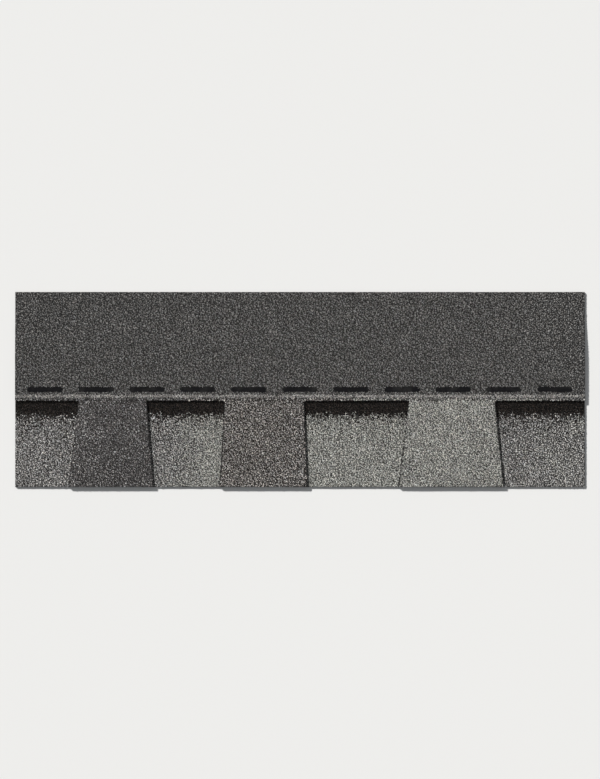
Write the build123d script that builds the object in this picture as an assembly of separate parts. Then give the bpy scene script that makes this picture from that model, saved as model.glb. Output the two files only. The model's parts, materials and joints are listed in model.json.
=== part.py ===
from build123d import *
import math
import os
from collections import namedtuple

# One laminated asphalt roofing shingle, lying face up on a level surface.
# A full-height top sheet has wide teeth die-cut into its lower edge. A narrower backing sheet
# is glued behind them, so it fills the recesses between the teeth and shows there.
# X runs along the shingle, Y from the butt edge up to the head edge, and Z is up.
# The origin is below the middle of the shingle, and every size is in millimetres.

# The whole shingle
SHINGLE_LENGTH = 984.0
SHINGLE_HEIGHT = 337.0
EXPOSURE = 143.0  # what the next course up leaves in view

# The two sheets, and the glue line that holds them apart
TOP_THICKNESS = 2.6
BACKING_THICKNESS = 2.6
BACKING_HEIGHT = 178.0
GLUE_THICKNESS = 0.4

# Above the backing sheet the limp top sheet sinks to the floor in a long, shallow S
DRAPE_CLEARANCE = 3.0  # from the upper edge of the release film to where the S begins
DRAPE_RUN = 100.0

# The recesses run a little way up under the next course
RECESS_OVERRUN = 6.0
RECESS_CORNER_RADIUS = 2.0

# The teeth and the recess before each, from left to right: their widths at the butt edge, and
# how far each side of a tooth leans in by the top of the recesses
FIRST_RECESS = 92.0
FIRST_TOOTH = 147.0
FIRST_LEFT_LEAN = 18.0
FIRST_RIGHT_LEAN = 12.0
SECOND_RECESS = 114.0
SECOND_TOOTH = 152.0
SECOND_LEFT_LEAN = 9.0
SECOND_RIGHT_LEAN = 6.0
THIRD_RECESS = 157.0
THIRD_TOOTH = 182.0
THIRD_LEFT_LEAN = 18.0
THIRD_RIGHT_LEAN = 15.0
Tooth = namedtuple("Tooth", "recess_before width left_lean right_lean")
TEETH = [
    Tooth(FIRST_RECESS, FIRST_TOOTH, FIRST_LEFT_LEAN, FIRST_RIGHT_LEAN),
    Tooth(SECOND_RECESS, SECOND_TOOTH, SECOND_LEFT_LEAN, SECOND_RIGHT_LEAN),
    Tooth(THIRD_RECESS, THIRD_TOOTH, THIRD_LEFT_LEAN, THIRD_RIGHT_LEAN),
]

# Glue beads between the sheets
BEAD_WIDTH = 8.0
BEAD_EDGE_INSET = 9.0  # from a cut edge of the sheets to the nearest bead
BEADS_PER_TOOTH = 3

# Dashes of heat-activated sealant, on the face above the nail line
NAIL_BAND_HEIGHT = 14.0  # clear band for the nails, from the recess tops to the dashes
DASH_LENGTH = 62.0
DASH_WIDTH = 11.0
DASH_THICKNESS = 1.0
DASH_GAP = 26.0
DASH_END_INSET = 10.0  # least distance from an end of the shingle to the nearest dash
DASH_EDGE_RADIUS = 0.7

# Clear film on the back, which keeps stacked shingles from sticking together
FILM_THICKNESS = 0.1
FILM_WIDTH = 25.0
FILM_CLEARANCE = 8.0  # from the upper edge of the backing sheet
FILM_END_INSET = 3.0

# How far a cutting shape runs past the edge that it cuts through
CUT_PAST = 10.0

# Edges and levels that follow from the sizes above
LEFT_X = -SHINGLE_LENGTH / 2
RIGHT_X = SHINGLE_LENGTH / 2
BUTT_Y = -SHINGLE_HEIGHT / 2
HEAD_Y = SHINGLE_HEIGHT / 2
RECESS_HEIGHT = EXPOSURE + RECESS_OVERRUN
RECESS_TOP_Y = BUTT_Y + RECESS_HEIGHT
BACKING_TOP_Y = BUTT_Y + BACKING_HEIGHT
FILM_LOW_Y = BACKING_TOP_Y + FILM_CLEARANCE
DRAPE_START_Y = FILM_LOW_Y + FILM_WIDTH + DRAPE_CLEARANCE
DRAPE_DROP = BACKING_THICKNESS + GLUE_THICKNESS
FACE_Z = DRAPE_DROP + TOP_THICKNESS


def drape_curve(above_middle):
    """Side view (Y, Z) of a line that keeps one distance from the top sheet's middle line.

    Flat over the backing sheet and the film, two equal tangent arcs down, flat on the floor.
    """
    bend_radius = (DRAPE_RUN**2 + DRAPE_DROP**2) / (4 * DRAPE_DROP)
    bend_angle = math.degrees(math.asin(DRAPE_RUN / (2 * bend_radius)))
    upper_z = DRAPE_DROP + TOP_THICKNESS / 2 + above_middle
    lower_z = TOP_THICKNESS / 2 + above_middle
    raised = Line((BUTT_Y, upper_z), (DRAPE_START_Y, upper_z))
    over = JernArc(raised @ 1, raised % 1, bend_radius + above_middle, -bend_angle)
    under = JernArc(over @ 1, over % 1, bend_radius - above_middle, bend_angle)
    on_floor = Line(under @ 1, (HEAD_Y, lower_z))
    return [raised, over, under, on_floor]


def draped_sheet():
    """The top sheet before its teeth are cut: its side view carried along the shingle."""
    underside = drape_curve(-TOP_THICKNESS / 2)
    face = drape_curve(TOP_THICKNESS / 2)
    ends = [Line(underside[0] @ 0, face[0] @ 0), Line(underside[-1] @ 1, face[-1] @ 1)]
    section = make_face(Curve() + underside + face + ends)
    return extrude(Plane.YZ.offset(LEFT_X) * section, amount=SHINGLE_LENGTH)


def tooth_sides():
    """Each tooth's two sides, as X at the butt edge and X at the top of the recesses."""
    sides = []
    right_at_butt = LEFT_X
    for tooth in TEETH:
        left_at_butt = right_at_butt + tooth.recess_before
        right_at_butt = left_at_butt + tooth.width
        left = (left_at_butt, left_at_butt + tooth.left_lean)
        right = (right_at_butt, right_at_butt - tooth.right_lean)
        sides.append((left, right))
    return sides


def side_at(side, height):
    """X of a tooth's side at a height above the butt edge."""
    at_butt, at_top = side
    return at_butt + (at_top - at_butt) * height / RECESS_HEIGHT


def recess_outline(left_side, right_side):
    """Outline of one recess, run out past the butt edge, with rounded inner corners."""
    outline = Polyline(
        (left_side[0], BUTT_Y - CUT_PAST),
        (left_side[0], BUTT_Y),
        (left_side[1], RECESS_TOP_Y),
        (right_side[1], RECESS_TOP_Y),
        (right_side[0], BUTT_Y),
        (right_side[0], BUTT_Y - CUT_PAST),
        close=True,
    )
    face = make_face(outline)
    return fillet(face.vertices().group_by(Axis.Y)[-1], RECESS_CORNER_RADIUS)


def make_top_layer():
    """Top sheet: the draped sheet with its teeth die-cut out of the lower edge."""
    sheet = draped_sheet()
    past_left = (LEFT_X - CUT_PAST, LEFT_X - CUT_PAST)
    past_right = (RIGHT_X + CUT_PAST, RIGHT_X + CUT_PAST)
    edges = [past_left]
    for left, right in tooth_sides():
        edges += [left, right]
    edges.append(past_right)
    for left_side, right_side in zip(edges[0::2], edges[1::2]):
        sheet -= extrude(recess_outline(left_side, right_side), amount=FACE_Z + CUT_PAST)
    return sheet


def flat_strip(left_x, right_x, low_y, high_y, low_z, high_z):
    """Straight strip with square edges between the given limits."""
    corner = Pos(left_x, low_y, low_z)
    size = (right_x - left_x, high_y - low_y, high_z - low_z)
    return corner * Box(*size, align=(Align.MIN, Align.MIN, Align.MIN))


def make_backing_layer():
    """Backing sheet: a plain strip behind the teeth, flush with them at the butt edge."""
    return flat_strip(LEFT_X, RIGHT_X, BUTT_Y, BACKING_TOP_Y, 0, BACKING_THICKNESS)


def glue_bead(left_x, right_x, low_y):
    """One bead of laminating glue, as thick as the gap between the sheets."""
    return flat_strip(left_x, right_x, low_y, low_y + BEAD_WIDTH, BACKING_THICKNESS, DRAPE_DROP)


def make_laminating_adhesive():
    """Short beads under each tooth, and two long ones above the recesses."""
    beads = []
    step = (RECESS_HEIGHT - 2 * BEAD_EDGE_INSET - BEAD_WIDTH) / (BEADS_PER_TOOTH - 1)
    for left, right in tooth_sides():
        for row in range(BEADS_PER_TOOTH):
            height = BEAD_EDGE_INSET + row * step
            bead_left = side_at(left, height + BEAD_WIDTH) + BEAD_EDGE_INSET
            bead_right = side_at(right, height + BEAD_WIDTH) - BEAD_EDGE_INSET
            beads.append(glue_bead(bead_left, bead_right, BUTT_Y + height))
    spare = (BACKING_TOP_Y - RECESS_TOP_Y - 2 * BEAD_WIDTH) / 3
    for low_y in (RECESS_TOP_Y + spare, BACKING_TOP_Y - spare - BEAD_WIDTH):
        beads.append(glue_bead(LEFT_X + BEAD_EDGE_INSET, RIGHT_X - BEAD_EDGE_INSET, low_y))
    return Compound(children=beads)


def sealant_dash(centre_x):
    """One dash: a round-ended bar with its upper edge softened, on the face."""
    centre_y = RECESS_TOP_Y + NAIL_BAND_HEIGHT + DASH_WIDTH / 2
    bar = extrude(SlotOverall(DASH_LENGTH, DASH_WIDTH), amount=DASH_THICKNESS)
    bar = fillet(bar.edges().group_by(Axis.Z)[-1], DASH_EDGE_RADIUS)
    return Pos(centre_x, centre_y, FACE_Z) * bar


def make_sealant_strip():
    """Row of sealant dashes along the whole shingle, centred on its length."""
    pitch = DASH_LENGTH + DASH_GAP
    count = int((SHINGLE_LENGTH - 2 * DASH_END_INSET + DASH_GAP) // pitch)
    first_x = -(count - 1) * pitch / 2
    return Compound(children=[sealant_dash(first_x + place * pitch) for place in range(count)])


def make_release_film():
    """Film strip on the underside of the top sheet, just above the backing sheet."""
    left_x = LEFT_X + FILM_END_INSET
    right_x = RIGHT_X - FILM_END_INSET
    high_y = FILM_LOW_Y + FILM_WIDTH
    return flat_strip(left_x, right_x, FILM_LOW_Y, high_y, DRAPE_DROP - FILM_THICKNESS, DRAPE_DROP)


NODES = {
    "top_layer": make_top_layer,
    "backing_layer": make_backing_layer,
    "laminating_adhesive": make_laminating_adhesive,
    "sealant_strip": make_sealant_strip,
    "release_film": make_release_film,
}

os.makedirs("parts", exist_ok=True)
for node, make_node in NODES.items():
    export_step(make_node(), f"parts/{node}.step")
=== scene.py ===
"""Finish for one laminated asphalt shingle: granules, cut edges, sealant, nail line and stage.

All lengths are in metres, in the part's own frame. X runs along the shingle, Y from the butt
edge up to the head edge, and Z out of the granule face. The three teeth of the top sheet and
the four recesses beside them are counted from the left.
"""

import json
import math
from collections import namedtuple

import bpy
import numpy as np
from bpy.props import FloatProperty, FloatVectorProperty, IntProperty, PointerProperty
from bpy.types import Operator, Panel, PropertyGroup
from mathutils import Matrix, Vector


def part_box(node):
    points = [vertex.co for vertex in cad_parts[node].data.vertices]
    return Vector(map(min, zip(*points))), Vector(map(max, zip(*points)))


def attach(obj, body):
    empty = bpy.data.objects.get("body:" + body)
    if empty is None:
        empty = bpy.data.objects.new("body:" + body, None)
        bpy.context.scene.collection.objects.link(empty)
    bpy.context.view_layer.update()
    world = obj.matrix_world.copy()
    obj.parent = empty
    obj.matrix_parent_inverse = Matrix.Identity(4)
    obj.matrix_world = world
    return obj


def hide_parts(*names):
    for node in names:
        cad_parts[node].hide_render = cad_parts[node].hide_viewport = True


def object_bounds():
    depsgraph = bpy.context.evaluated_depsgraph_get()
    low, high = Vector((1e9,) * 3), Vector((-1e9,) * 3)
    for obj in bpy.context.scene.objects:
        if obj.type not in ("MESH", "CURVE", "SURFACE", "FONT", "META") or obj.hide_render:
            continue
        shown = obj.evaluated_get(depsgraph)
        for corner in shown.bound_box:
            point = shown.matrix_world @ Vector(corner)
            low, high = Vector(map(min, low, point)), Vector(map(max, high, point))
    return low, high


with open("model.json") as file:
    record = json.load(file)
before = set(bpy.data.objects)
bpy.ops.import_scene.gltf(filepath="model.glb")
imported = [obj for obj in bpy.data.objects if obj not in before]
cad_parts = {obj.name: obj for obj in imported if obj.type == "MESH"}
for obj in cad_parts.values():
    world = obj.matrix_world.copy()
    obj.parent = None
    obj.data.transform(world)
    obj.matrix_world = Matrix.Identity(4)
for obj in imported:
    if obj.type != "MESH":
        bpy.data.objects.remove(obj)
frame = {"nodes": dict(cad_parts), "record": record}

bl_info = {
    "name": "Asphalt shingle finish",
    "version": (1, 0, 0),
    "blender": (4, 5, 0),
    "location": "View3D > Sidebar > Shingle",
    "description": "Granules, edges, sealant and stage for one laminated asphalt shingle",
    "category": "Object",
}

# Places read from the frame
CAD_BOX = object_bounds()
FACE_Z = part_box("top_layer")[1].z
BACKING_FACE_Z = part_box("backing_layer")[1].z
DASH_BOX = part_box("sealant_strip")
RECESS_BOXES = [opening["box_m"] for opening in frame["record"]["physics"]["openings"]]

# The photograph's frame, in pixels, and how much of its width the shingle takes up
PHOTO_SIZE = (600, 779)
SHARE_OF_WIDTH = 0.95

# Each kind of piece starts its random numbers this far past the seed
TOOTH_START, RECESS_START, HEADLAP_START, SEALANT_START = range(4)

# Granules keep this far from the edges of the area that they are scattered on
EDGE_MARGIN = 0.0003

# Granule blends, in the order of their places on the palette ramp. The shadow blend is the printed dark
# band at the top of each recess, darkened further with painted shadow: the shade that the next course
# up casts there on a roof.
BLENDS = ("grey", "charcoal", "pale", "umber", "shadow", "headlap", "paint")
TOOTH_BLENDS = ("charcoal", "umber", "pale")
# Share of its own blend at the left side, at a third of the width and at the right side of each
# tooth; the rest is grey
TOOTH_SHARES = ((0.70, 0.96, 0.95), (0.92, 1.0, 0.85), (0.85, 0.95, 0.90))
# How pale each recess is at its left and its right side. The contrast spreads these about a
# half into shares of the pale blend, which end at none and all; the rest is grey.
RECESS_PALE = ((0.08, 0.0), (0.06, 1.12), (1.0, 0.85), (0.20, 0.34))
RECESS_CONTRAST = 1.6
# Share of a blend's granules that have its dark shade, and for each blend the share that are no
# lighter than its middle shade. The rest run from there up to its pale shade.
DARK_SHARE = 0.32
MIDDLE_SHARES = (0.62, 0.80, 0.62, 0.66, 0.70, 0.62, 0.62)
# Share of a blend's stretch of the ramp that stays unused at either end. The ramp is read from
# a table, so a place nearer to the end would take in some of the next blend's colour.
RAMP_MARGIN = 0.05
# Stretch of the ramp that the grit under the granules takes: grey, up to its middle shade
BED_PLACES = (0.0, 0.085)
# A granule's shade is tinted between warm and cool by a random number, which is drawn from its
# place on the ramp times the spread
WARM_TINT = (1.04, 0.993, 0.955, 1)
COOL_TINT = (0.968, 1.0, 1.032, 1)
TINT_SPREAD = 977.0
# Share of the granules that the shadow band still takes some way below its lower edge
STRAY_SHARE = 0.5
# Share of the nail line that its paint covers
PAINT_COVER = 0.86
# How far granules stray over the edge of the colour lane and of the nail line
LANE_RAGGED = 0.0012
PAINT_RAGGED = 0.0003

# A number that drifts from place to place: the size of its largest clouds in metres, its mean,
# and how far it swings about that
Drift = namedtuple("Drift", "cell mean swing")
TOOTH_DRIFT = Drift(0.022, 0.0, 0.30)
RECESS_DRIFT = Drift(0.035, 0.0, 0.30)
BAND_DRIFT = Drift(0.022, 0.0, 1.0)
PAINT_DRIFT = Drift(0.030, 0.0, 0.10)
DASH_WIDTH_DRIFT = Drift(0.012, 0.86, 0.14)
DASH_HEIGHT_DRIFT = Drift(0.009, 0.84, 0.15)
DASH_MIDDLE_DRIFT = Drift(0.020, 0.0, 1.0)
DASH_LUMP_DRIFT = Drift(0.0035, 0.86, 0.22)

# A granule is a lumpy pair of three-sided pyramids, base to base: its five corner directions,
# and its six outward faces
HALF_ROOT_3 = math.sqrt(3) / 2
CORNERS = np.array(
    [(1, 0, 0), (-0.5, HALF_ROOT_3, 0), (-0.5, -HALF_ROOT_3, 0), (0, 0, 1), (0, 0, -1)]
)
UPPER_FACES = [(3, 0, 1), (3, 1, 2), (3, 2, 0)]
LOWER_FACES = [(4, 1, 0), (4, 2, 1), (4, 0, 2)]
FACES = np.array(UPPER_FACES + LOWER_FACES, np.int32)
# Ranges, as shares of a granule's radius, of how far out a corner is, how far it is moved
# sideways, and how the granule is stretched
CORNER_REACH = (0.78, 1.22)
CORNER_SWAY = (-0.24, 0.24)
STRETCH = (0.80, 1.20)
# Spread of the radius about its mean, and the least and greatest share of the mean
SIZE_SPREAD = 0.17
SIZE_LIMITS = (0.62, 1.42)
# A granule's middle stands this far above the face that it is pressed into
PRESS_HEIGHTS = (0.00004, 0.00018)
# The blade broke granules loose up to a distance that varies between these shares of the inset
INSET_SHARES = (0.67, 1.33)

# Sizes of the grains in the bed under the granules, of the sand on the back, of the sand that
# shows through the film, and of the lumps in the sealant
BED_GRAIN = 0.00075
SAND_GRAIN = 0.0006
FILM_GRAIN = 0.0011
SEALANT_GRAIN = 0.0019

# A dash of sealant has this many sections along it, and each has this many points, of which
# some are on the flat bottom, between its edges
DASH_SECTIONS = 60
DASH_POINTS = 20
DASH_BOTTOM_POINTS = 4
# Powers that square a dash off: of the cosine across its arch, of the sine up the arch, and of
# its rounded ends, which the height follows
ACROSS_POWER = 0.75
UP_POWER = 0.6
END_POWER = 0.4
# Each dash drifts in a lane of its own, this far from the next
LANE_STEP = 0.05
# Granules press this far into the rim of a dash
DASH_RIM = 0.0014

# Range that most values of a noise texture lie in
NOISE_RANGE = (0.3, 0.7)

# The floor, and how far the key light's lamp is from the shingle
FLOOR_WIDTH = 12.0
FLOOR_GAP = 0.0002
SUN_DISTANCE = 3.0


def colour(name, description, default):
    """Colour property with the wording that the panel shows."""
    return FloatVectorProperty(
        name=name, description=description, subtype="COLOR", size=3, min=0, max=1, default=default
    )


def length(name, description, default):
    """Length property in metres."""
    return FloatProperty(
        name=name, description=description, unit="LENGTH", precision=5, min=0, default=default
    )


class GranuleColours(PropertyGroup):
    """Dark, middle and pale granules of each blend."""

    grey_dark: colour("Grey, dark", "Darkest granules of the grey blend", (0.030, 0.029, 0.028))
    grey_middle: colour("Grey, middle", "Middle granules of the grey blend", (0.195, 0.192, 0.188))
    grey_pale: colour("Grey, pale", "Palest granules of the grey blend", (0.92, 0.91, 0.89))
    charcoal_dark: colour("Charcoal, dark", "Darkest charcoal granules", (0.027, 0.026, 0.026))
    charcoal_middle: colour("Charcoal, middle", "Middle charcoal granules", (0.150, 0.144, 0.143))
    charcoal_pale: colour("Charcoal, pale", "Palest charcoal granules", (0.58, 0.565, 0.56))
    pale_dark: colour("Pale, dark", "Darkest granules of the pale blend", (0.070, 0.071, 0.066))
    pale_middle: colour("Pale, middle", "Middle granules of the pale blend", (0.40, 0.404, 0.376))
    pale_pale: colour("Pale, pale", "Palest granules of the pale blend", (0.90, 0.90, 0.845))
    umber_dark: colour("Umber, dark", "Darkest granules of the umber blend", (0.020, 0.018, 0.016))
    umber_middle: colour("Umber, middle", "Middle granules of the umber blend", (0.132, 0.123, 0.117))
    umber_pale: colour("Umber, pale", "Palest granules of the umber blend", (0.86, 0.825, 0.785))
    # Shadow band: printed dark granules, made darker than black granules are with painted shadow of the
    # next course up
    shadow_dark: colour("Shadow, dark", "Darkest granules of the shadow band", (0.001, 0.001, 0.001))
    shadow_middle: colour("Shadow, middle", "Middle granules of the shadow band", (0.005, 0.004, 0.003))
    shadow_pale: colour("Shadow, pale", "Palest granules of the shadow band", (0.076, 0.060, 0.052))
    headlap_dark: colour("Headlap, dark", "Darkest headlap granules", (0.032, 0.032, 0.032))
    headlap_middle: colour("Headlap, middle", "Middle headlap granules", (0.12, 0.118, 0.115))
    headlap_pale: colour("Headlap, pale", "Palest headlap granules", (0.36, 0.355, 0.345))
    paint_dark: colour("Nail line, thin", "Nail line paint where it is thin", (0.20, 0.195, 0.19))
    paint_middle: colour("Nail line", "Nail line paint", (0.46, 0.45, 0.43))
    paint_pale: colour("Nail line, thick", "Nail line paint where it is thick", (0.62, 0.61, 0.58))
    asphalt: colour("Asphalt", "Bare asphalt between granules and on cut edges", (0.016, 0.015, 0.015))
    asphalt_worn: colour("Asphalt, worn", "Asphalt where the blade smeared it", (0.060, 0.058, 0.055))
    dusting: colour("Back dusting", "Fine sand pressed into the back", (0.24, 0.235, 0.225))
    sealant: colour("Sealant", "Heat-activated sealant and glue", (0.010, 0.010, 0.011))
    film: colour("Film", "Haze of the release film", (0.34, 0.345, 0.35))


class ShingleSizes(PropertyGroup):
    """Sizes of the granules and of the bands that they make."""

    granule_radius: length("Granule radius", "Mean radius of a granule", 0.00122)
    granule_pitch: length("Granule pitch", "Mean distance between granules in view", 0.00128)
    headlap_radius: length("Headlap radius", "Mean radius of a headlap granule", 0.00136)
    headlap_pitch: length("Headlap pitch", "Mean distance between headlap granules", 0.00158)
    granule_flatness: FloatProperty(
        name="Flatness", description="Height of a granule over its width", default=0.52
    )
    cut_inset: length("Cut inset", "How far granules keep back from a tooth's sides", 0.0015)
    band_depth: length("Shadow band", "Depth of the dark band at the top of a recess", 0.0250)
    band_waver: length("Band waver", "How far the band's lower edge wanders", 0.0022)
    band_fade: length("Band fade", "Height over which the dark granules thin out", 0.0140)
    band_stray: length("Band stray", "How far below that dark granules stray on average", 0.0140)
    nail_line_width: length("Nail line width", "Width of the painted nail line", 0.0050)
    nail_line_rise: length("Nail line rise", "From the recess tops to the nail line", 0.0055)
    lane_rise: length("Colour lane", "How far the colours run past the recess tops", 0.0035)
    seed: IntProperty(name="Seed", description="Start of the random numbers", default=7)


class StageSettings(PropertyGroup):
    """Floor, light and camera."""

    floor_colour: colour("Floor", "Colour of the floor", (0.86, 0.86, 0.85))
    backdrop_colour: colour("Backdrop", "What shows beyond the floor", (0.855, 0.853, 0.834))
    world_colour: colour("World", "Colour of the light from all sides", (0.94, 0.97, 1.0))
    world_strength: FloatProperty(name="Fill", description="Light from all sides", default=0.23)
    sun_colour: colour("Key colour", "Colour of the key light", (1.0, 0.985, 0.965))
    sun_strength: FloatProperty(name="Key", description="Strength of the key light", default=5.2)
    sun_height: FloatProperty(
        name="Key height", description="Key light above the floor", subtype="ANGLE",
        default=math.radians(28),
    )
    sun_side: FloatProperty(
        name="Key side", description="Turn of the key light from the head edge to the left",
        subtype="ANGLE", default=math.radians(45),
    )
    sun_softness: FloatProperty(
        name="Key softness", description="Apparent width of the key light", subtype="ANGLE",
        default=math.radians(5),
    )
    camera_height: length("Camera height", "Camera above the floor", 3.2)


def settings():
    """The three groups of settings, from the scene."""
    scene = bpy.context.scene
    return scene.shingle_colours, scene.shingle_sizes, scene.shingle_stage


# Reading the CAD surfaces


def corner_places(node):
    """Corners (n, 3, 3) of a CAD node's triangles."""
    mesh = frame["nodes"][node].data
    mesh.calc_loop_triangles()
    corner_index = np.empty(len(mesh.loop_triangles) * 3, np.int32)
    mesh.loop_triangles.foreach_get("vertices", corner_index)
    place = np.empty(len(mesh.vertices) * 3, np.float32)
    mesh.vertices.foreach_get("co", place)
    return place.reshape(-1, 3)[corner_index].reshape(-1, 3, 3).astype(float)


def upward_triangles(node):
    """Those of a CAD node's triangles (n, 3, 3) that face up, less steep than a wall."""
    triangles = corner_places(node)
    normal = np.cross(triangles[:, 1] - triangles[:, 0], triangles[:, 2] - triangles[:, 0])
    least_rise = 0.9
    return triangles[normal[:, 2] > least_rise * np.linalg.norm(normal, axis=1)]


def covered(points, triangles):
    """True for each point (n, 2) that lies on one of the triangles, seen from above.

    A point is on a triangle when it is to the left of all three sides.
    """
    inside_any = np.zeros(len(points), bool)
    for triangle in triangles[:, :, :2]:
        side = np.roll(triangle, -1, axis=0) - triangle
        offset = points[:, None, :] - triangle
        turn = side[:, 0] * offset[:, :, 1] - side[:, 1] * offset[:, :, 0]
        inside_any |= (turn >= 0).all(axis=1)
    return inside_any


def face_profile(triangles):
    """The face's side view: rising Y, and the height of the face at each."""
    corners = triangles.reshape(-1, 3)
    decimals = 5
    same_row = 2e-5
    rows = np.unique(corners[:, 1].round(decimals))
    heights = [corners[np.abs(corners[:, 1] - row) < same_row, 2].max() for row in rows]
    return rows, np.array(heights)


TOP_TRIANGLES = upward_triangles("top_layer")
PROFILE_Y, PROFILE_Z = face_profile(TOP_TRIANGLES)
# The last row of the face's corners before the dashes is along the tops of the recesses
RECESS_TOP_Y = PROFILE_Y[PROFILE_Y < DASH_BOX[0].y].max()


# Random fields


def smooth_noise(x, y, cell, rng):
    """Smooth random field between -1 and 1: random values on a square lattice of that cell,
    joined by smoothstep weights."""
    column, row = x / cell, y / cell
    column, row = column - column.min(), row - row.min()
    whole_column, whole_row = column.astype(int), row.astype(int)
    across, up = column - whole_column, row - whole_row
    across, up = across**2 * (3 - 2 * across), up**2 * (3 - 2 * up)
    lattice = rng.uniform(-1, 1, (whole_row.max() + 2, whole_column.max() + 2))
    lower = lattice[whole_row, whole_column] * (1 - across)
    lower += lattice[whole_row, whole_column + 1] * across
    upper = lattice[whole_row + 1, whole_column] * (1 - across)
    upper += lattice[whole_row + 1, whole_column + 1] * across
    return lower * (1 - up) + upper * up


def drifting(x, y, drift, rng):
    """Number at each place: the mean, and the swing times clouds between -1 and 1.

    The clouds are three layers of smooth noise, each half as wide and half as strong as the
    last.
    """
    shares = [1 / 2**level for level in range(3)]
    layers = [smooth_noise(x, y, drift.cell * share, rng) * share for share in shares]
    return drift.mean + drift.swing * (sum(layers) / sum(shares))


# Granules


def scattered(low, high, pitch, rng):
    """Granules (n, 3), each as X, Y and a grain between 0 and 1 that picks its shade.

    The places are a triangular grid with one point for each square of the pitch, each shaken
    about in its own cell. Each two-by-two block of points has one grain from every quarter of
    the range, in random order, so that no patch comes out all dark or all pale.
    """
    column_step = pitch * math.sqrt(1 / HALF_ROOT_3)
    row_step = column_step * HALF_ROOT_3
    columns = 2 * math.ceil((high[0] - low[0]) / column_step / 2) + 2
    rows = 2 * math.ceil((high[1] - low[1]) / row_step / 2) + 2
    row, column = np.mgrid[0:rows, 0:columns]
    shift = row % 2 / 2 - 0.5
    x = low[0] + (column + shift + rng.uniform(-0.5, 0.5, row.shape)) * column_step
    y = low[1] + (row + rng.uniform(-0.5, 0.5, row.shape)) * row_step
    order = rng.random((rows // 2, columns // 2, 4)).argsort(axis=-1)
    quarter = order.reshape(rows // 2, columns // 2, 2, 2).transpose(0, 2, 1, 3)
    grain = (quarter.reshape(rows, columns) + rng.random(row.shape)) / 4
    inside = (x > low[0] + EDGE_MARGIN) & (x < high[0] - EDGE_MARGIN)
    inside &= (y > low[1] + EDGE_MARGIN) & (y < high[1] - EDGE_MARGIN)
    return np.column_stack([x[inside], y[inside], grain[inside]])


def turned(points, rng):
    """Each granule's points (n, k, 3) turned by its own random rotation.

    A rotation is a random unit quaternion, written out as a matrix.
    """
    quaternion = rng.normal(size=(len(points), 4))
    quaternion /= np.linalg.norm(quaternion, axis=1, keepdims=True)
    w, x, y, z = quaternion.T
    rows = [
        [1 - 2 * (y * y + z * z), 2 * (x * y - w * z), 2 * (x * z + w * y)],
        [2 * (x * y + w * z), 1 - 2 * (x * x + z * z), 2 * (y * z - w * x)],
        [2 * (x * z - w * y), 2 * (y * z + w * x), 1 - 2 * (x * x + y * y)],
    ]
    matrix = np.array(rows).transpose(2, 0, 1)
    return np.einsum("nij,nkj->nki", matrix, points)


def granule_points(centres, radius, flatness, rng):
    """Corners (n, 5, 3) of one granule at each centre (n, 3).

    The corners of a double pyramid are drawn in or out along their directions and sideways,
    stretched, turned at random and flattened, and the sheet's box shears off what stands
    past its edges.
    """
    count = len(centres)
    reach = rng.uniform(*CORNER_REACH, (count, len(CORNERS), 1))
    sideways = rng.uniform(*CORNER_SWAY, (count, len(CORNERS), 3))
    stretch = rng.uniform(*STRETCH, (count, 1, 3))
    size = radius * np.clip(rng.lognormal(0, SIZE_SPREAD, (count, 1, 1)), *SIZE_LIMITS)
    points = turned((CORNERS * reach + sideways) * stretch, rng) * size
    points[:, :, 2] *= flatness
    points += centres[:, None, :]
    return np.clip(points, CAD_BOX[0], CAD_BOX[1])


def palette_place(blend, grain):
    """Place on the palette ramp: each blend has an equal stretch, and the grain is a share of
    what lies between its margins."""
    return (blend + RAMP_MARGIN + (1 - 2 * RAMP_MARGIN) * grain) / len(BLENDS)


def cell_map(count):
    """UV corners (count, 6, 3, 2) that give each granule a cell of its own.

    The square cells fill the map row by row. A granule has one colour all over, so its faces
    all lie on one triangle in the middle of its cell, clear of the cells beside it.
    """
    columns = math.ceil(math.sqrt(count))
    triangle = np.array([(0.2, 0.2), (0.8, 0.2), (0.5, 0.8)])
    index = np.arange(count)
    cell = np.column_stack([index % columns, index // columns])
    places = (cell[:, None, None, :] + triangle) / columns
    return np.repeat(places, len(FACES), axis=1)


def new_piece(name, points, faces, material):
    """Mesh object from whole arrays: points (n, 3) and faces (m, k). It rides on the part."""
    mesh = bpy.data.meshes.new(name)
    mesh.vertices.add(len(points))
    mesh.vertices.foreach_set("co", points.astype(np.float32).ravel())
    mesh.loops.add(faces.size)
    mesh.loops.foreach_set("vertex_index", faces.astype(np.int32).ravel())
    mesh.polygons.add(len(faces))
    mesh.polygons.foreach_set("loop_start", np.arange(0, faces.size, faces.shape[1]))
    mesh.update(calc_edges=True)
    mesh.materials.append(material)
    piece = bpy.data.objects.new(name, mesh)
    bpy.context.scene.collection.objects.link(piece)
    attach(piece, "root")
    return piece


def add_granules(name, centres, place, radius, rng):
    """One piece of granules: their joined mesh, palette places and bake cells."""
    _, sizes, _ = settings()
    points = granule_points(centres, radius, sizes.granule_flatness, rng)
    count = len(centres)
    faces = FACES[None] + len(CORNERS) * np.arange(count)[:, None, None]
    piece = new_piece(name, points.reshape(-1, 3), faces.reshape(-1, 3), granule_material())
    layer = piece.data.attributes.new("palette_place", "FLOAT", "POINT")
    corner_place = np.repeat(place, len(CORNERS)).astype(np.float32)
    layer.data.foreach_set("value", corner_place)
    uv_layer = piece.data.uv_layers.new(name="OFBake")
    uv_layer.data.foreach_set("uv", cell_map(count).astype(np.float32).ravel())
    return piece


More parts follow.
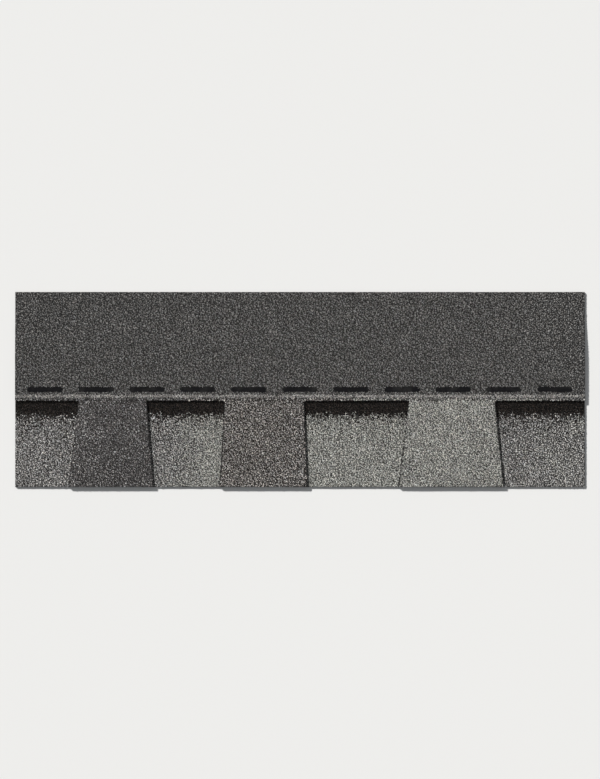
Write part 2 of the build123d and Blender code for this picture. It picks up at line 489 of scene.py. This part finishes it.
def add_bands(name, bands, granules, blend, face_z, radius, rng):
    """Granules as one piece for each named band of Y, each as deep as the next, so that no
    piece holds too many. Each granule is pressed into the face, a little above its surface."""
    x, y, grain = granules.T
    lift = rng.uniform(*PRESS_HEIGHTS, len(x))
    centres = np.column_stack([x, y, face_z + lift])
    place = palette_place(blend, grain)
    limits = np.linspace(y.min(), y.max(), len(bands) + 1)[1:-1]
    band_index = np.searchsorted(limits, y)
    for index, band in enumerate(bands):
        chosen = band_index == index
        add_granules(f"{name}_{band}", centres[chosen], place[chosen], radius, rng)


def on_top_sheet(points, inset, rng):
    """True where a granule sits on the top sheet and keeps clear of its cut sides, by about the
    inset, because the blade broke some loose."""
    kept = covered(points, TOP_TRIANGLES)
    reach = inset * rng.uniform(*INSET_SHARES, (len(points), 1))
    for step in ((-1, 0), (1, 0), (0, -1), (0, 1)):
        moved = np.clip(points + reach * step, CAD_BOX[0][:2], CAD_BOX[1][:2])
        kept &= covered(moved, TOP_TRIANGLES)
    return kept


def colour_lane_top(x, rng):
    """Y where the colours of the teeth give way to headlap granules, with a ragged edge."""
    _, sizes, _ = settings()
    return RECESS_TOP_Y + sizes.lane_rise + LANE_RAGGED * rng.normal(size=len(x))


def tooth_blend(points, rng):
    """Blend of each granule of the top sheet: its tooth's own or grey, headlap above the colour
    lane, and paint on the nail line."""
    _, sizes, _ = settings()
    x, y = points.T
    blend = np.full(len(x), BLENDS.index("grey"))
    chance = drifting(x, y, TOOTH_DRIFT, rng) + rng.random(len(x))
    for left_box, right_box, name, shares in zip(
        RECESS_BOXES[:-1], RECESS_BOXES[1:], TOOTH_BLENDS, TOOTH_SHARES
    ):
        left, right = left_box[1][0], right_box[0][0]
        middle_left = (left_box[0][0] + left) / 2
        middle_right = (right + right_box[1][0]) / 2
        third = left + (right - left) / 3
        share = np.interp(x, (left, third, right), shares)
        on_tooth = (x > middle_left) & (x < middle_right)
        blend[on_tooth & (chance < share)] = BLENDS.index(name)
    blend[y > colour_lane_top(x, rng)] = BLENDS.index("headlap")
    line_low = RECESS_TOP_Y + sizes.nail_line_rise
    ragged = PAINT_RAGGED * rng.normal(size=len(x))
    on_line = (y > line_low + ragged) & (y < line_low + sizes.nail_line_width + ragged)
    covers = drifting(x, y, PAINT_DRIFT, rng) + rng.random(len(x)) < PAINT_COVER
    blend[on_line & covers] = BLENDS.index("paint")
    return blend


def recess_blend(points, rng):
    """Blend of each granule of the backing sheet: grey or pale as set for its recess, in
    clouds, with the shadow band at the top and dark strays below it. The band is printed dark
    granules with painted shadow of the next course up in their colours."""
    _, sizes, _ = settings()
    x, y = points.T
    ends = [limit for box in RECESS_BOXES for limit in (box[0][0], box[1][0])]
    paleness = np.interp(x, ends, np.ravel(RECESS_PALE)) + drifting(x, y, RECESS_DRIFT, rng)
    pale_share = 0.5 + RECESS_CONTRAST * (paleness - 0.5)
    is_pale = rng.random(len(x)) < pale_share
    blend = np.where(is_pale, BLENDS.index("pale"), BLENDS.index("grey"))
    waver = sizes.band_waver * drifting(x, y * 0, BAND_DRIFT, rng)
    fade = sizes.band_fade * rng.uniform(-0.5, 0.5, len(x))
    strays = rng.random(len(x)) < STRAY_SHARE
    fade -= strays * sizes.band_stray * rng.exponential(size=len(x))
    # Granules above this wavering line take the shadow blend: the printed dark band, with painted
    # shadow
    blend[y > RECESS_TOP_Y - sizes.band_depth + waver + fade] = BLENDS.index("shadow")
    return blend


# Sealant


def dash_boxes():
    """Lowest and highest X of each dash (n, 2).

    Every triangle of the sealant node covers a stretch of X. In order of their lower ends, a
    new dash starts where a stretch lies past all the stretches before it.
    """
    x = corner_places("sealant_strip")[:, :, 0]
    x = x[np.argsort(x.min(axis=1))]
    lower, upper = x.min(axis=1), np.maximum.accumulate(x.max(axis=1))
    starts = np.flatnonzero(lower[1:] > upper[:-1]) + 1
    return np.column_stack([lower[np.r_[0, starts]], upper[np.r_[starts - 1, len(x) - 1]]])


def dash_section_size():
    """Half width of the dashes, the Y of their middle line, and their thickness."""
    half_width = (DASH_BOX[1].y - DASH_BOX[0].y) / 2
    middle_y = (DASH_BOX[1].y + DASH_BOX[0].y) / 2
    return half_width, middle_y, DASH_BOX[1].z - DASH_BOX[0].z


def outside_dashes(points):
    """True for each point that no dash covers: one that lies further from a dash's middle line
    than half of its width, less the rim that granules press into."""
    half_width, middle_y, _ = dash_section_size()
    clear = np.ones(len(points), bool)
    for low_x, high_x in dash_boxes():
        along = np.clip(points[:, 0], low_x + half_width, high_x - half_width)
        distance = np.hypot(points[:, 0] - along, points[:, 1] - middle_y)
        clear &= distance > half_width - DASH_RIM
    return clear


def dash_section():
    """Points round a dash's section, as shares of its half width across and its height up.

    A squared-off arch, which is a power of the cosine across and a power of the sine up, and
    then a flat bottom.
    """
    arch = np.linspace(0, np.pi, DASH_POINTS - DASH_BOTTOM_POINTS)
    across = np.sign(np.cos(arch)) * np.abs(np.cos(arch)) ** ACROSS_POWER
    up = np.abs(np.sin(arch)) ** UP_POWER
    bottom = np.linspace(-1, 1, DASH_BOTTOM_POINTS + 2)[1:-1]
    return np.concatenate([across, bottom]), np.concatenate([up, np.zeros(DASH_BOTTOM_POINTS)])


def tube_faces(sections, ring):
    """Triangles of a tube that is closed to a point at each end: its sides and its two caps.

    Its points are numbered round each section in turn, and the two end points come last.
    """
    index = np.arange(sections * ring).reshape(sections, ring)
    here, after = index[:-1], index[1:]
    here_next, after_next = np.roll(here, -1, axis=1), np.roll(after, -1, axis=1)
    first_end = np.full(ring, sections * ring)
    last_end = first_end + 1
    parts = [
        np.stack([here, after, after_next], -1),
        np.stack([here, after_next, here_next], -1),
        np.stack([first_end, index[0], np.roll(index[0], -1)], -1),
        np.stack([last_end, np.roll(index[-1], -1), index[-1]], -1),
    ]
    return np.concatenate([part.reshape(-1, 3) for part in parts])


def dash_surfaces(rng):
    """Points and triangles of all the dashes, as one mesh of closed surfaces.

    A dash is its section carried along X. The half width follows the rounded ends, as the
    square root of one less the square of the way past the straight part. The width, height and
    middle line drift along it. A finer drift over X and Y lifts and dents the arch, where
    granules press through from below.
    """
    boxes = dash_boxes()
    count = len(boxes)
    half_width, middle_y, thickness = dash_section_size()
    share = np.sin(np.linspace(-np.pi / 2, np.pi / 2, DASH_SECTIONS + 2)[1:-1])
    half_length = (boxes[:, 1] - boxes[:, 0])[:, None] / 2
    x = boxes.mean(axis=1)[:, None] + half_length * share
    past_straight = np.clip(np.abs(half_length * share) - (half_length - half_width), 0, None)
    round_end = np.sqrt(np.clip(1 - (past_straight / half_width) ** 2, 0, 1))
    lane = np.arange(count)[:, None] * LANE_STEP + np.zeros_like(x)
    width = half_width * round_end * drifting(x, lane, DASH_WIDTH_DRIFT, rng)
    height = thickness * round_end**END_POWER * drifting(x, lane, DASH_HEIGHT_DRIFT, rng)
    sway = drifting(x, lane, DASH_MIDDLE_DRIFT, rng)
    centre_y = middle_y + (half_width * round_end - width) * sway

    across, up = dash_section()
    points = np.empty((count, DASH_SECTIONS, DASH_POINTS, 3))
    points[..., 0] = x[:, :, None]
    points[..., 1] = centre_y[:, :, None] + width[:, :, None] * across
    lumps = drifting(points[..., 0], points[..., 1], DASH_LUMP_DRIFT, rng)
    points[..., 2] = FACE_Z + np.clip(height[:, :, None] * up * lumps, 0, thickness)
    ends = np.empty((count, 2, 3))
    ends[:, :, 0] = boxes
    ends[:, :, 1] = middle_y
    ends[:, :, 2] = FACE_Z

    all_points = np.concatenate([points.reshape(count, -1, 3), ends], axis=1)
    faces = tube_faces(DASH_SECTIONS, DASH_POINTS)
    all_faces = faces[None] + all_points.shape[1] * np.arange(count)[:, None, None]
    return all_points.reshape(-1, 3), all_faces.reshape(-1, 3)


# Materials


def node_group(name, inputs, outputs):
    """Empty shader group with the named sockets, each given as (kind, name)."""
    group = bpy.data.node_groups.new(name, "ShaderNodeTree")
    for kind, socket in inputs:
        group.interface.new_socket(socket, in_out="INPUT", socket_type=kind)
    for kind, socket in outputs:
        group.interface.new_socket(socket, in_out="OUTPUT", socket_type=kind)
    return group, group.nodes.new("NodeGroupInput"), group.nodes.new("NodeGroupOutput")


def add_node(tree, kind, inputs=None, **values):
    """Node of that kind with its settings. Each input takes a link from a socket, or a constant."""
    node = tree.nodes.new(kind)
    for name, value in values.items():
        setattr(node, name, value)
    for name, value in (inputs or {}).items():
        if isinstance(value, bpy.types.NodeSocket):
            tree.links.new(value, node.inputs[name])
        else:
            node.inputs[name].default_value = value
    return node


def add_group(tree, group, inputs):
    """Node that stands for a group, with its inputs."""
    return add_node(tree, "ShaderNodeGroup", inputs, node_tree=group)


def add_bump(tree, shader, height, strength, distance):
    """Bump from a height socket, on the shader's normal."""
    inputs = {"Height": height, "Strength": strength, "Distance": distance}
    bump = add_node(tree, "ShaderNodeBump", inputs)
    tree.links.new(bump.outputs["Normal"], shader.inputs["Normal"])


def mixed(tree, factor, first, second, blend_type="MIX"):
    """Colour socket with two colours mixed by a factor."""
    inputs = {"Factor": factor, "A": first, "B": second}
    node = add_node(tree, "ShaderNodeMix", inputs, data_type="RGBA", blend_type=blend_type)
    return node.outputs["Result"]


def maths(tree, operation, *terms):
    """Value socket of an operation on sockets or constants."""
    node = add_node(tree, "ShaderNodeMath", dict(enumerate(terms)), operation=operation)
    return node.outputs[0]


def remapped(tree, value, source, target):
    """Value socket with the source range carried to the target range, and held at its ends."""
    inputs = {"Value": value, "From Min": source[0], "From Max": source[1]}
    inputs |= {"To Min": target[0], "To Max": target[1]}
    return add_node(tree, "ShaderNodeMapRange", inputs).outputs["Result"]


def noise(tree, vector, scale, detail=2.0, roughness=0.5):
    """Value socket of a noise texture."""
    inputs = {"Vector": vector, "Scale": scale, "Detail": detail, "Roughness": roughness}
    return add_node(tree, "ShaderNodeTexNoise", inputs).outputs["Fac"]


def opaque(shade):
    """Colour with its alpha."""
    return (*shade, 1.0)


def palette_group():
    """Granule palette: a place between 0 and 1 gives a granule's colour.

    Each blend has an equal stretch of one ramp, from its dark to its pale granules. A second
    random number, drawn from the place, turns the colour a little warmer or cooler.
    """
    name = "Granule palette"
    if name in bpy.data.node_groups:
        return bpy.data.node_groups[name]
    colours, _, _ = settings()
    group, given, result = node_group(
        name, [("NodeSocketFloat", "Place")], [("NodeSocketColor", "Color")]
    )
    ramp = add_node(group, "ShaderNodeValToRGB", {"Fac": given.outputs["Place"]})
    stops = []
    for index, (blend, middle) in enumerate(zip(BLENDS, MIDDLE_SHARES)):
        for share, shade in ((0, "dark"), (DARK_SHARE, "dark"), (middle, "middle"), (1, "pale")):
            stops.append((palette_place(index, share), getattr(colours, f"{blend}_{shade}")))
    elements = ramp.color_ramp.elements
    while len(elements) < len(stops):
        elements.new(1.0)
    for element, (position, shade) in zip(elements, stops):
        element.position = position
        element.color = opaque(shade)
    spread = maths(group, "MULTIPLY", given.outputs["Place"], TINT_SPREAD)
    chance = add_node(group, "ShaderNodeTexWhiteNoise", {"W": spread}, noise_dimensions="1D")
    tint = mixed(group, chance.outputs["Value"], WARM_TINT, COOL_TINT)
    tinted = mixed(group, 1.0, ramp.outputs["Color"], tint, "MULTIPLY")
    group.links.new(tinted, result.inputs["Color"])
    return group


def grit_group():
    """Fine grit: each cell of a Voronoi pattern is one grain.

    Value is the grain's own random number, and Height falls from its middle to its rim.
    """
    name = "Fine grit"
    if name in bpy.data.node_groups:
        return bpy.data.node_groups[name]
    group, given, result = node_group(
        name,
        [("NodeSocketVector", "Vector"), ("NodeSocketFloat", "Grain Size")],
        [("NodeSocketFloat", "Value"), ("NodeSocketFloat", "Height")],
    )
    scale = maths(group, "DIVIDE", 1.0, given.outputs["Grain Size"])
    inputs = {"Vector": given.outputs["Vector"], "Scale": scale}
    cells = add_node(group, "ShaderNodeTexVoronoi", inputs)
    chance = add_node(group, "ShaderNodeSeparateColor", {"Color": cells.outputs["Color"]})
    height = remapped(group, cells.outputs["Distance"], (0.0, 0.75), (1.0, 0.0))
    group.links.new(chance.outputs["Red"], result.inputs["Value"])
    group.links.new(height, result.inputs["Height"])
    return group


def haze_group():
    """Cloudiness: a soft noise gives a factor between Low and High that shades a colour."""
    name = "Cloudiness"
    if name in bpy.data.node_groups:
        return bpy.data.node_groups[name]
    numbers = [("NodeSocketFloat", socket) for socket in ("Scale", "Low", "High")]
    group, given, result = node_group(
        name,
        [("NodeSocketColor", "Color"), ("NodeSocketVector", "Vector"), *numbers],
        [("NodeSocketColor", "Color")],
    )
    cloud = noise(group, given.outputs["Vector"], given.outputs["Scale"], detail=3.0)
    factor = remapped(group, cloud, NOISE_RANGE, (given.outputs["Low"], given.outputs["High"]))
    shaded = mixed(group, 1.0, given.outputs["Color"], factor, "MULTIPLY")
    group.links.new(shaded, result.inputs["Color"])
    return group


def new_material(name, roughness, specular):
    """Material with nothing but a Principled shader; returns it, its tree and the shader."""
    material = bpy.data.materials.new(name)
    material.use_nodes = True
    tree = material.node_tree
    shader = tree.nodes["Principled BSDF"]
    shader.inputs["Roughness"].default_value = roughness
    shader.inputs["Specular IOR Level"].default_value = specular
    return material, tree, shader


def granule_material():
    """Ceramic-coated mineral granules: a colour from the palette, and a little cloudiness."""
    name = "granules"
    if name in bpy.data.materials:
        return bpy.data.materials[name]
    material, tree, shader = new_material(name, roughness=0.85, specular=0.12)
    where = add_node(tree, "ShaderNodeTexCoord")
    place = add_node(tree, "ShaderNodeAttribute", attribute_name="palette_place")
    palette = add_group(tree, palette_group(), {"Place": place.outputs["Fac"]})
    inputs = {"Color": palette.outputs["Color"], "Vector": where.outputs["Object"]}
    inputs |= {"Scale": 34.0, "Low": 0.90, "High": 1.10}
    haze = add_group(tree, haze_group(), inputs)
    tree.links.new(haze.outputs["Color"], shader.inputs["Base Color"])
    return material


def bed_colour(tree, grit):
    """Bed under the granules: dark grit, with bare asphalt between the grains."""
    colours, _, _ = settings()
    place = remapped(tree, grit.outputs["Value"], (0.0, 1.0), BED_PLACES)
    palette = add_group(tree, palette_group(), {"Place": place})
    bare = remapped(tree, grit.outputs["Height"], (0.25, 0.55), (1.0, 0.0))
    return mixed(tree, bare, palette.outputs["Color"], opaque(colours.asphalt))


def cut_colour(tree, grit, smears):
    """Cut edge: asphalt that the blade smeared, with pale grains of filler."""
    colours, _, _ = settings()
    smear_mask = remapped(tree, smears, (0.42, 0.68), (0.0, 1.0))
    smeared = mixed(tree, smear_mask, opaque(colours.asphalt), opaque(colours.asphalt_worn))
    filler = remapped(tree, grit.outputs["Value"], (0.86, 0.90), (0.0, 0.8))
    return mixed(tree, filler, smeared, opaque(colours.dusting))


def back_colour(tree, position):
    """Back: fine sand pressed into the asphalt, in drifts."""
    colours, _, _ = settings()
    sand = add_group(tree, grit_group(), {"Vector": position, "Grain Size": SAND_GRAIN})
    drifts = noise(tree, position, scale=22.0, detail=5.0, roughness=0.6)
    depth = remapped(tree, drifts, NOISE_RANGE, (0.30, 1.0))
    shade = maths(tree, "MULTIPLY", sand.outputs["Value"], depth)
    return mixed(tree, shade, opaque(colours.asphalt_worn), opaque(colours.dusting))


def sheet_material():
    """A sheet's three finishes, by which way its surface faces: the bed of the granules up, the
    dusted back down, and the cut edges between them."""
    name = "asphalt_sheet"
    if name in bpy.data.materials:
        return bpy.data.materials[name]
    material, tree, shader = new_material(name, roughness=0.85, specular=0.12)
    where = add_node(tree, "ShaderNodeTexCoord")
    position = where.outputs["Object"]
    facing = add_node(tree, "ShaderNodeSeparateXYZ", {"Vector": where.outputs["Normal"]})
    is_face = remapped(tree, facing.outputs["Z"], (0.3, 0.6), (0.0, 1.0))
    is_back = remapped(tree, facing.outputs["Z"], (-0.6, -0.3), (1.0, 0.0))
    grit = add_group(tree, grit_group(), {"Vector": position, "Grain Size": BED_GRAIN})
    layers = add_node(tree, "ShaderNodeMapping", {"Vector": position, "Scale": (90.0, 90.0, 1600.0)})
    smears = noise(tree, layers.outputs["Vector"], scale=1.0, detail=4.0, roughness=0.65)
    edge_or_face = mixed(tree, is_face, cut_colour(tree, grit, smears), bed_colour(tree, grit))
    finished = mixed(tree, is_back, edge_or_face, back_colour(tree, position))
    tree.links.new(finished, shader.inputs["Base Color"])
    roughness = remapped(tree, smears, NOISE_RANGE, (0.55, 0.85))
    tree.links.new(roughness, shader.inputs["Roughness"])
    relief = maths(tree, "MULTIPLY_ADD", smears, 0.6, grit.outputs["Height"])
    add_bump(tree, shader, relief, strength=0.8, distance=0.0004)
    return material


def sealant_material(name, least_rough, most_rough):
    """Black modified asphalt that was laid down molten: soft lumps where granules press through
    from below, dull patches and an uneven gloss."""
    if name in bpy.data.materials:
        return bpy.data.materials[name]
    colours, _, _ = settings()
    material, tree, shader = new_material(name, roughness=0.75, specular=0.02)
    position = add_node(tree, "ShaderNodeTexCoord").outputs["Object"]
    lumps = noise(tree, position, scale=320.0, detail=3.0)
    patches = noise(tree, position, scale=70.0, detail=3.0)
    worn = remapped(tree, patches, (0.45, 0.75), (0.0, 0.3))
    shade = mixed(tree, worn, opaque(colours.sealant), opaque(colours.asphalt_worn))
    tree.links.new(shade, shader.inputs["Base Color"])
    roughness = remapped(tree, lumps, NOISE_RANGE, (least_rough, most_rough))
    tree.links.new(roughness, shader.inputs["Roughness"])
    grit = add_group(tree, grit_group(), {"Vector": position, "Grain Size": SEALANT_GRAIN})
    relief = maths(tree, "MULTIPLY_ADD", grit.outputs["Height"], 0.5, lumps)
    add_bump(tree, shader, relief, strength=0.7, distance=0.0012)
    return material


def film_material():
    """Clear film on the dusted back: the sand shows through, under gloss and faint creases."""
    name = "hazy_film"
    if name in bpy.data.materials:
        return bpy.data.materials[name]
    colours, _, _ = settings()
    material, tree, shader = new_material(name, roughness=0.2, specular=0.5)
    position = add_node(tree, "ShaderNodeTexCoord").outputs["Object"]
    along = add_node(tree, "ShaderNodeMapping", {"Vector": position, "Scale": (12.0, 90.0, 90.0)})
    creases = noise(tree, along.outputs["Vector"], scale=1.0, detail=4.0, roughness=0.6)
    grit = add_group(tree, grit_group(), {"Vector": position, "Grain Size": FILM_GRAIN})
    through = remapped(tree, grit.outputs["Value"], (0.4, 0.6), (0.15, 0.55))
    below = mixed(tree, through, opaque(colours.asphalt_worn), opaque(colours.dusting))
    hazed = remapped(tree, creases, (0.4, 0.7), (0.10, 0.45))
    shade = mixed(tree, hazed, below, opaque(colours.film))
    tree.links.new(shade, shader.inputs["Base Color"])
    add_bump(tree, shader, creases, strength=0.5, distance=0.0006)
    return material


# Stage


def add_floor(scene, stage):
    """Pale floor, a hair below the shingle."""
    material, _, shader = new_material("floor", roughness=0.9, specular=0.1)
    shader.inputs["Base Color"].default_value = opaque(stage.floor_colour)
    half = FLOOR_WIDTH / 2
    outline = ((-half, -half), (half, -half), (half, half), (-half, half))
    corners = [(x, y, -FLOOR_GAP) for x, y in outline]
    mesh = bpy.data.meshes.new("floor")
    mesh.from_pydata(corners, [], [(0, 1, 2, 3)])
    mesh.materials.append(material)
    floor = bpy.data.objects.new("floor", mesh)
    scene.collection.objects.link(floor)


def add_world(scene, stage):
    """Light from all sides, and a backdrop that only shows to the camera, in mirrors and
    through glass."""
    world = bpy.data.worlds.new("studio")
    world.use_nodes = True
    tree = world.node_tree
    fill = tree.nodes["Background"]
    fill.inputs["Color"].default_value = opaque(stage.world_colour)
    fill.inputs["Strength"].default_value = stage.world_strength
    backdrop = add_node(tree, "ShaderNodeBackground", {"Color": opaque(stage.backdrop_colour)})
    ray = add_node(tree, "ShaderNodeLightPath").outputs
    mirrored = maths(tree, "MAXIMUM", ray["Is Glossy Ray"], ray["Is Transmission Ray"])
    seen = maths(tree, "MAXIMUM", ray["Is Camera Ray"], mirrored)
    inputs = {0: seen, 1: fill.outputs[0], 2: backdrop.outputs[0]}
    both = add_node(tree, "ShaderNodeMixShader", inputs)
    tree.links.new(both.outputs[0], tree.nodes["World Output"].inputs["Surface"])
    scene.world = world


def add_key_light(scene, stage):
    """Sun above the head edge, turned to the left by its side angle."""
    sun = bpy.data.lights.new("key", "SUN")
    sun.energy = stage.sun_strength
    sun.color = stage.sun_colour
    sun.angle = stage.sun_softness
    key = bpy.data.objects.new("key", sun)
    flat = math.cos(stage.sun_height)
    left, back = math.sin(stage.sun_side) * flat, math.cos(stage.sun_side) * flat
    towards = Vector((-left, back, math.sin(stage.sun_height)))
    key.location = towards * SUN_DISTANCE
    key.rotation_euler = (-towards).to_track_quat("-Z", "Y").to_euler()
    scene.collection.objects.link(key)


def add_camera(scene, stage):
    """Camera straight above the shingle, which takes up its share of the picture's width."""
    lens = bpy.data.cameras.new("camera")
    camera = bpy.data.objects.new("camera", lens)
    camera.location = (0, 0, stage.camera_height)
    shown_width = (CAD_BOX[1].x - CAD_BOX[0].x) / SHARE_OF_WIDTH
    shown_height = shown_width * PHOTO_SIZE[1] / PHOTO_SIZE[0]
    distance = stage.camera_height - FACE_Z
    lens.lens = lens.sensor_width * distance / shown_height
    scene.collection.objects.link(camera)
    scene.camera = camera


# Operators


class SHINGLE_OT_sheets(Operator):
    """Finish the two sheets, the glue between them and the release film"""

    bl_idname = "shingle.sheets"
    bl_label = "Sheets, glue and film"

    def execute(self, context):
        finishes = {
            "top_layer": sheet_material(),
            "backing_layer": sheet_material(),
            "laminating_adhesive": sealant_material("glue_asphalt", least_rough=0.5, most_rough=0.8),
            "release_film": film_material(),
        }
        for node, material in finishes.items():
            slots = frame["nodes"][node].data.materials
            slots.clear()
            slots.append(material)
        return {"FINISHED"}


class SHINGLE_OT_sealant(Operator):
    """Replace the plain sealant dashes with lumpy ones of the same size"""

    bl_idname = "shingle.sealant"
    bl_label = "Sealant dashes"

    def execute(self, context):
        _, sizes, _ = settings()
        rng = np.random.default_rng(sizes.seed + SEALANT_START)
        points, faces = dash_surfaces(rng)
        material = sealant_material("sealant_asphalt", least_rough=0.62, most_rough=0.92)
        piece = new_piece("sealant_dashes", points, faces, material)
        piece.data.polygons.foreach_set("use_smooth", np.ones(len(faces), bool))
        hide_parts("sealant_strip")
        return {"FINISHED"}


class SHINGLE_OT_tooth_granules(Operator):
    """Cover the three teeth with granules"""

    bl_idname = "shingle.tooth_granules"
    bl_label = "Tooth granules"

    def execute(self, context):
        _, sizes, _ = settings()
        rng = np.random.default_rng(sizes.seed + TOOTH_START)
        high = (CAD_BOX[1].x, RECESS_TOP_Y)
        granules = scattered(CAD_BOX[0][:2], high, sizes.granule_pitch, rng)
        granules = granules[on_top_sheet(granules[:, :2], sizes.cut_inset, rng)]
        blend = tooth_blend(granules[:, :2], rng)
        add_bands("tooth_granules", ("lower", "upper"), granules, blend, FACE_Z,
                  sizes.granule_radius, rng)
        return {"FINISHED"}


class SHINGLE_OT_recess_granules(Operator):
    """Cover the backing sheet with granules where it shows beside the teeth"""

    bl_idname = "shingle.recess_granules"
    bl_label = "Recess granules"

    def execute(self, context):
        _, sizes, _ = settings()
        rng = np.random.default_rng(sizes.seed + RECESS_START)
        high = (CAD_BOX[1].x, RECESS_TOP_Y)
        granules = scattered(CAD_BOX[0][:2], high, sizes.granule_pitch, rng)
        granules = granules[~covered(granules[:, :2], TOP_TRIANGLES)]
        blend = recess_blend(granules[:, :2], rng)
        add_bands("recess_granules", ("lower", "upper"), granules, blend, BACKING_FACE_Z,
                  sizes.granule_radius, rng)
        return {"FINISHED"}


class SHINGLE_OT_headlap_granules(Operator):
    """Cover the face above the recesses with granules, down the drape to the head edge"""

    bl_idname = "shingle.headlap_granules"
    bl_label = "Headlap granules"

    def execute(self, context):
        _, sizes, _ = settings()
        rng = np.random.default_rng(sizes.seed + HEADLAP_START)
        low = (CAD_BOX[0].x, RECESS_TOP_Y)
        granules = scattered(low, CAD_BOX[1][:2], sizes.headlap_pitch, rng)
        granules = granules[outside_dashes(granules[:, :2])]
        blend = tooth_blend(granules[:, :2], rng)
        face_z = np.interp(granules[:, 1], PROFILE_Y, PROFILE_Z)
        add_bands("headlap_granules", ("lower", "middle", "upper"), granules, blend, face_z,
                  sizes.headlap_radius, rng)
        return {"FINISHED"}


class SHINGLE_OT_stage(Operator):
    """Add the pale floor, the light and the camera"""

    bl_idname = "shingle.stage"
    bl_label = "Stage"

    def execute(self, context):
        _, _, stage = settings()
        scene = context.scene
        add_floor(scene, stage)
        add_world(scene, stage)
        add_key_light(scene, stage)
        add_camera(scene, stage)
        scene.view_settings.view_transform = "Standard"
        return {"FINISHED"}


STEPS = (
    SHINGLE_OT_sheets,
    SHINGLE_OT_tooth_granules,
    SHINGLE_OT_recess_granules,
    SHINGLE_OT_headlap_granules,
    SHINGLE_OT_sealant,
    SHINGLE_OT_stage,
)


class SHINGLE_PT_panel(Panel):
    """Steps that finish the shingle"""

    bl_label = "Shingle"
    bl_idname = "SHINGLE_PT_panel"
    bl_space_type = "VIEW_3D"
    bl_region_type = "UI"
    bl_category = "Shingle"

    def draw(self, context):
        for step in STEPS:
            self.layout.operator(step.bl_idname)


CLASSES = (GranuleColours, ShingleSizes, StageSettings, *STEPS, SHINGLE_PT_panel)


def register():
    for cls in CLASSES:
        bpy.utils.register_class(cls)
    bpy.types.Scene.shingle_colours = PointerProperty(type=GranuleColours)
    bpy.types.Scene.shingle_sizes = PointerProperty(type=ShingleSizes)
    bpy.types.Scene.shingle_stage = PointerProperty(type=StageSettings)


def unregister():
    del bpy.types.Scene.shingle_stage
    del bpy.types.Scene.shingle_sizes
    del bpy.types.Scene.shingle_colours
    for cls in reversed(CLASSES):
        bpy.utils.unregister_class(cls)


def main():
    """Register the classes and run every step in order."""
    register()
    bpy.ops.shingle.sheets()
    bpy.ops.shingle.tooth_granules()
    bpy.ops.shingle.recess_granules()
    bpy.ops.shingle.headlap_granules()
    bpy.ops.shingle.sealant()
    bpy.ops.shingle.stage()


if __name__ == "__main__":
    main()
